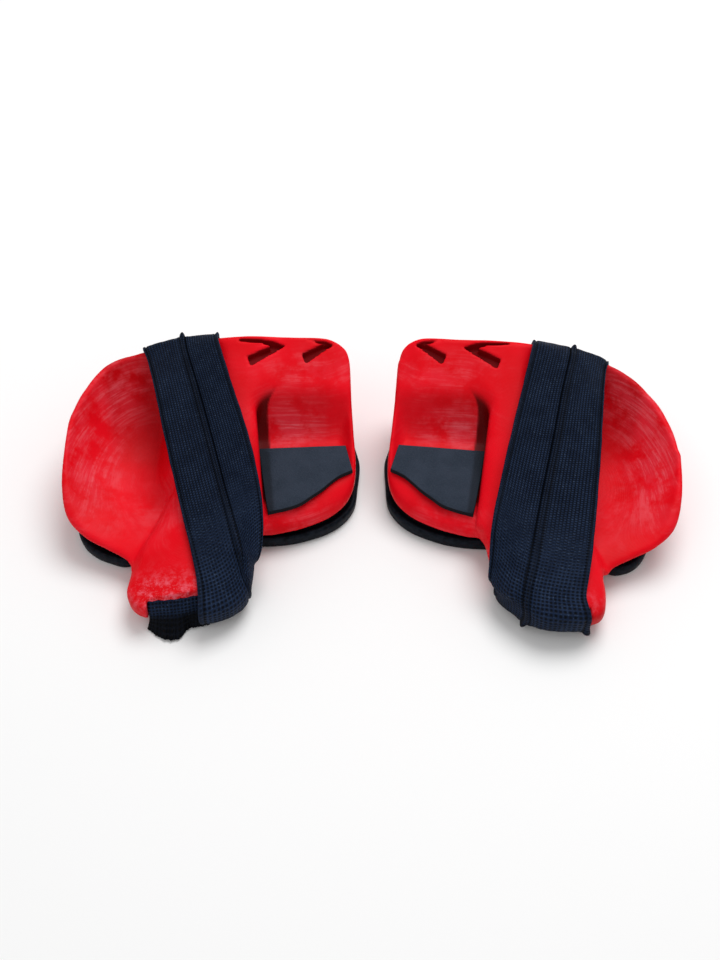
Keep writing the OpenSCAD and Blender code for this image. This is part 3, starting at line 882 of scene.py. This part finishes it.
def strap(side):
    u, lines, lengths, marks = strap_lines(side)
    rows, cols = lines.shape[:2]
    row = np.arange(rows)[:, None]
    pull = np.maximum(sstep(marks[0] + 1, marks[0] - 5, row), sstep(marks[1] - 9, marks[1], row))
    for gap in (1.0, 0.9, 0.8, 0.7):  # smoothing evens out what hugging bent
        lines = hugged(side, lines, gap, pull)
        for _ in range(4):
            lines[1:-1] = (lines[:-2] + lines[1:-1] * 2 + lines[2:]) / 4
            lines[:, 1:-1] = (lines[:, :-2] + lines[:, 1:-1] * 2 + lines[:, 2:]) / 4
    along = np.gradient(lines, axis=0)
    across = unit(np.gradient(lines, axis=1))
    up = unit(np.cross(along, across))
    # the strap folds at the far wall's top edge and tucks under the spout
    fold_row = np.argmax((lines[: rows // 3, :, 1] + lines[: rows // 3, :, 2]), 0)
    tuck_row = rows // 2 + np.argmin(lines[rows // 2:, :, 1] + 1.1 * lines[rows // 2:, :, 2], 0)
    step = lengths.mean() / (rows - 1)
    fold = gauss((row - fold_row[None, :]) * step, 2.6)
    tuck = gauss((row - tuck_row[None, :]) * step, 3.0)
    seam = u[None, :] - WIDTH / 2
    left, right = u[None, :], WIDTH - u[None, :]
    # there, its seam and corners stand up as ears
    if side == "left":
        ears = fold * (2.0 * gauss(seam, 1.8) + 0.4 * gauss(left, 1.5) + 1.1 * gauss(right, 2.0))
    else:
        ears = fold * (1.5 * gauss(seam, 1.7) + 0.2 * gauss(right, 1.6) - 1.3 * gauss(left, 4.0))
        ears = ears + tuck * (2.0 * gauss(seam, 1.8) + 3.4 * gauss(left, 2.2))
        ears = ears - 0.9 * tuck * (gauss(seam + 7, 4) + gauss(seam - 7, 4))
    # rounded edges, a raised seam with a groove on each side, and a groove beside each edge
    inwards = np.clip(np.minimum(left, right) / 0.8, 0, 1)
    top = THICK * np.sqrt(np.clip(1 - (1 - inwards) ** 2, 0.05, 1)) + 0.45 * np.exp(-(seam / 1.3) ** 4)
    top = top - 0.75 * gauss(seam - 1.9, 0.5) - 0.55 * gauss(seam + 1.7, 0.45)
    top = top - 0.55 * gauss(left - 2.0, 0.42) - 0.55 * gauss(right - 2.0, 0.42)
    three = lines.reshape(-1, 3)
    top = top + (0.10 * waves(three, (12, 6), 11)).reshape(rows, cols)
    swing = (0.10 * waves(three, (22, 9), 12)).reshape(rows, cols)
    upper = lines + up * (top + ears)[..., None]
    lower = lines + up * (np.minimum(0.2, top * 0.2) + ears * 0.9)[..., None]
    for sheet in (upper, lower):
        sheet -= across * ((gauss(left, 1.0) - gauss(right, 1.0)) * (swing + 0.35 * ears))[..., None]
    # the weave opens towards the spout, and is plain at the edges
    opened = sstep(0.54, 0.78, np.linspace(0, 1, rows))
    stitch = mix(CLOSED_STITCH, OPEN_STITCH, opened)
    stitches = np.concatenate([[0], np.cumsum(step / stitch[1:])])
    weave = np.stack(np.broadcast_arrays(u / STRAP_RIB, stitches[:, None], OPEN * opened[:, None]), -1)
    plain = np.clip(gauss(left, 1.1) + gauss(right, 1.1), 0, 1) * 0.7 * np.ones((rows, 1))
    # painted shade: darker in the grooves and low under the spout; the raised seam is a little darker too
    dark = 0.95 * gauss(seam - 1.8, 0.6) + 0.75 * gauss(seam + 1.7, 0.5)
    dark = dark + 0.8 * (gauss(left - 2, 0.45) + gauss(right - 2, 0.45))
    dark = np.maximum(dark, 0.35 * np.exp(-(seam / 1.6) ** 4))
    dark = np.clip(np.maximum(dark, 0.85 * sstep(13, 4, lines[..., 2]) * (row > rows // 2)), 0, 1)
    half = rows // 2
    for name, part in (("far", slice(0, half + 1)), ("near", slice(half, rows))):
        ring = wrapped(upper[part], lower[part])
        w, pl, dk = [wrapped(values[part]) for values in (weave, plain, dark)]
        faces = sheet_faces(*ring.shape[:2], (name == "far", name == "near"), turned=True)
        piece = make(f"{side}_strap_{name}_half", side, ring.reshape(-1, 3), faces, ELASTIC[side], None,
                     weave=w.reshape(-1, 3), plain=pl.ravel(), dark=dk.ravel())
        last = "strap_far_end" if name == "far" else "strap_spout_end"
        nodes = ["strap_outer_band", "strap_inner_band", "strap_seam", last]
        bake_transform(piece)
        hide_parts(*[f"{side}_{node}" for node in nodes])


def sheet_on(side, name, s_from, s_to, rows_v, low, top, material, node, cols=40):
    """A thin closed sheet that follows the skin, from low to top above it."""
    s = np.linspace(s_from, s_to, cols)
    base = hugged(side, np.array([skin(s, v) for v in rows_v]), 0.05, 1.0)
    normals = np.array([normal_at(s, v) for v in rows_v])
    rows = len(rows_v)
    ring = wrapped(base + normals * top, base + normals * low)
    points, faces = ring.reshape(-1, 3), sheet_faces(rows, 2 * cols)
    wide = np.linalg.norm(np.diff(base, axis=1), axis=-1).mean() * (cols - 1)
    long = np.linalg.norm(np.diff(base, axis=0), axis=-1).mean() * (rows - 1)
    weave = wrapped(np.stack(np.broadcast_arrays(
        np.linspace(0, wide, cols) / STRAP_RIB, np.linspace(0, long, rows)[:, None] / SHEET_STITCH, OPEN), -1))
    piece = make(name, side, points, faces, material, side + "_shield", weave=weave.reshape(-1, 3),
                 plain=np.zeros(len(points)), dark=np.zeros(len(points)))
    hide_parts(node)


for side in SIDES:
    shell(side)
    facing(side, "bay_facing")
    facing(side, "bowl_facing")
    foam_pad(side)
    strap(side)
    far, _, spout = STRAPS[side]
    # the hook patches are a little narrower than the strap
    sheet_on(side, side + "_far_hooks", far[2] + 0.25, far[0] - 0.25, np.linspace(1.12, 1.5, 16),
             0, PATCH, HOOK, side + "_hook_patch_far")
    sheet_on(side, side + "_under_hooks", spout[0] + 0.25, spout[2] - 0.25, np.linspace(2.02, 2.22, 8),
             0, PATCH, HOOK, side + "_hook_patch_under")

# x, and the y of the left strap's cut end on the ground
TAIL_END = [[-27, -75.6], [-26, -76.8], [-23.4, -79.6], [-20.4, -82.6], [-17.6, -84.2], [-14.6, -84.7],
            [-11.6, -84.0], [-9.6, -81.2], [-8.4, -78.6], [-6.5, -77.4], [-2, -77.0], [3, -75.0]]
TAIL_LEFT, TAIL_RIGHT, TAIL_THICK = -25.3, 3.0, 1.5


def tail():
    """The left strap's loose end: out of the slot under the spout's lip, and down to the ground."""
    x = np.arange(TAIL_LEFT, TAIL_RIGHT + 0.01, COLUMN)
    t = np.linspace(0, 1, int(46 / ROW))[:, None]
    lip, end = at(SLOT_LIP, x), at(TAIL_END, x)
    fray = 0.45 * np.sin(x * 3.1) * np.sin(x * 1.3 + 2) + 0.25 * np.sin(x * 7.3)
    y = mix(lip + 1.6, lip - 1.9, sstep(0.0, 0.45, t)) + mix(0, end + fray - lip + 1.9, sstep(0.42, 1.0, t))
    z = 18.2 - 17.4 * sstep(0, 1, t) - 0.3 * np.sin(x * 0.5) * t
    sway = -1.5 * sstep(0.55, 1.0, t) * sstep(-20, -26, x)
    middle = np.stack(np.broadcast_arrays(x + sway, y, z), -1)
    up = unit(np.cross(np.gradient(middle, axis=1), np.gradient(middle, axis=0)))
    inwards = np.clip((x - TAIL_LEFT) / 0.8, 0, 1)
    thick = TAIL_THICK * np.sqrt(np.clip(1 - (1 - inwards) ** 2, 0.1, 1))[None, :, None]
    ring = wrapped(middle + up * thick / 2, middle - up * thick / 2)
    ring[..., 2] = np.maximum(ring[..., 2], 0.1)
    rows, cols = ring.shape[:2]
    v = np.cumsum(np.linalg.norm(np.diff(middle[:, :1], axis=0, prepend=middle[:1, :1]), axis=-1), 0)
    weave = wrapped(np.stack(np.broadcast_arrays(x / TAIL_RIB, v / TAIL_STITCH, OPEN), -1))
    # painted shade: darker low down near the ground and just under the lip
    dark = wrapped(np.maximum(0.9 * sstep(0.42, 0.62, t), 0.9 * sstep(0.12, 0.0, t)) + 0 * x)
    piece = make("left_strap_loose_end", "left", ring.reshape(-1, 3), sheet_faces(rows, cols, turned=True),
                 ELASTIC["left"], "left_shield", weave=weave.reshape(-1, 3), plain=np.zeros(rows * cols),
                 dark=dark.ravel())
    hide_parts("left_strap_tail")


tail()
sheet_on("right", "right_strap_loose_end", 18.4, 21.3, np.linspace(2.28, 2.42, 8), 0.2, 1.8, ELASTIC["right"],
         "right_strap_tail", cols=60)

# ---------------------------------------------------------------- camera, floor and light

TARGET = Vector((-5.8, CENTRE_Y, 18)) * MM
ELEVATION, DISTANCE = math.radians(52), 0.700
FILM, FOCAL, PICTURE = 36, 1372.5, 960   # the film's longer side in mm, and the focal length and picture in pixels
LIT = Vector((0, 0, 0.02))               # what the lights point at


def aimed(name, data, place, target):
    thing = bpy.data.objects.new(name, data)
    bpy.context.scene.collection.objects.link(thing)
    thing.location = place
    thing.rotation_mode = "QUATERNION"
    thing.rotation_quaternion = (target - Vector(place)).to_track_quat("-Z", "Y")
    return thing


back = Vector((0, -math.cos(ELEVATION), math.sin(ELEVATION)))
camera = aimed("camera", bpy.data.cameras.new("camera"), TARGET + back * DISTANCE, TARGET)
camera.data.sensor_width = FILM
camera.data.lens = FOCAL * FILM / PICTURE
camera.data.clip_start = 0.01
bpy.context.scene.camera = camera

floor_mesh = bpy.data.meshes.new("floor")
HALF = 3   # the floor's half width, in metres
floor_mesh.from_pydata([(-HALF, -HALF, 0), (HALF, -HALF, 0), (HALF, HALF, 0), (-HALF, HALF, 0)], [], [(0, 1, 2, 3)])
floor = bpy.data.objects.new("floor", floor_mesh)
bpy.context.scene.collection.objects.link(floor)
pale = Nodes("floor").finish(Base_Color=(0.90, 0.90, 0.90, 1), Roughness=0.9, Specular_IOR_Level=0.1)
floor_mesh.materials.append(pale)


for name, place, size, power in (("key", (0.25, 0.50, 1.15), 0.85, 10.5), ("front", (-0.5, -0.6, 1.1), 0.8, 1.2)):
    light = bpy.data.lights.new(name, "AREA")
    light.shape, light.size, light.energy = "DISK", size, power
    aimed(name, light, place, LIT)
world = bpy.data.worlds.new("world")
bpy.context.scene.world = world
world.use_nodes = True
sky = world.node_tree.nodes["Background"].inputs
sky["Color"].default_value = (1, 1, 1, 1)
sky["Strength"].default_value = 0.58
bpy.context.scene.view_settings.view_transform = "Standard"
